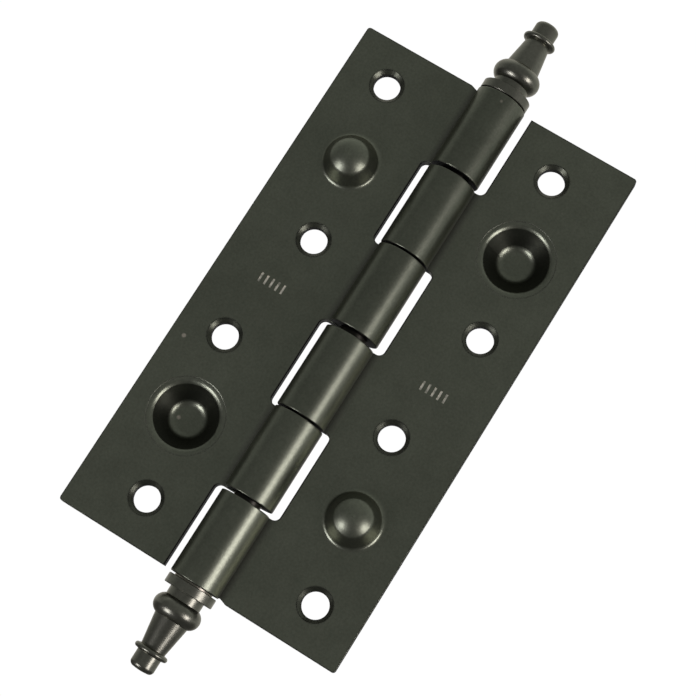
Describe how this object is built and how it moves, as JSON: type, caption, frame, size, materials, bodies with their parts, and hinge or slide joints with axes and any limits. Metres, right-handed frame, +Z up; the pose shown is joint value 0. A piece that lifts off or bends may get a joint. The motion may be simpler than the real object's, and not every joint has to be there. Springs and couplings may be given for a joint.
{
  "type": "door hinge",
  "caption": "Security butt hinge with interleaved rolled knuckles, turned finials on a loose pin, and pressed bosses that seat in recesses of the facing leaf when shut.",
  "frame": {"origin": "on the pin's axis, half way between the leaves' ends", "axes": "+Z up the pin as the hinge hangs on a door; the leaves lie flat in the XZ plane, frame leaf towards -X, door leaf towards +X; countersunk faces look to -Y, backs to +Y"},
  "size_m": [0.083, 0.0158, 0.1998],
  "materials": {
    "leaf_steel": "satin dark oxide finish on pressed steel sheet",
    "pin_steel": "satin dark oxide finish on drawn steel bar",
    "finial_steel": "satin dark oxide finish on turned steel",
    "washer_steel": "thin dark steel shim"
  },
  "bodies": {
    "frame_leaf": {"frame_leaf": "leaf_steel"},
    "door_leaf": {"door_leaf": "leaf_steel"},
    "pin": {"hinge_pin": "pin_steel", "upper_finial": "finial_steel", "lower_finial": "finial_steel", "spacer_washer": "washer_steel"}
  },
  "joints": [
    {"name": "door_swing", "type": "hinge", "parent": "frame_leaf", "child": "door_leaf", "pos_m": [0, 0, 0], "axis": [0, 0, -1], "range_deg": [-130, 180]},
    {"name": "pin_spin", "type": "hinge", "parent": "frame_leaf", "child": "pin", "pos_m": [0, 0, 0], "axis": [0, 0, 1], "continuous": true}
  ]
}
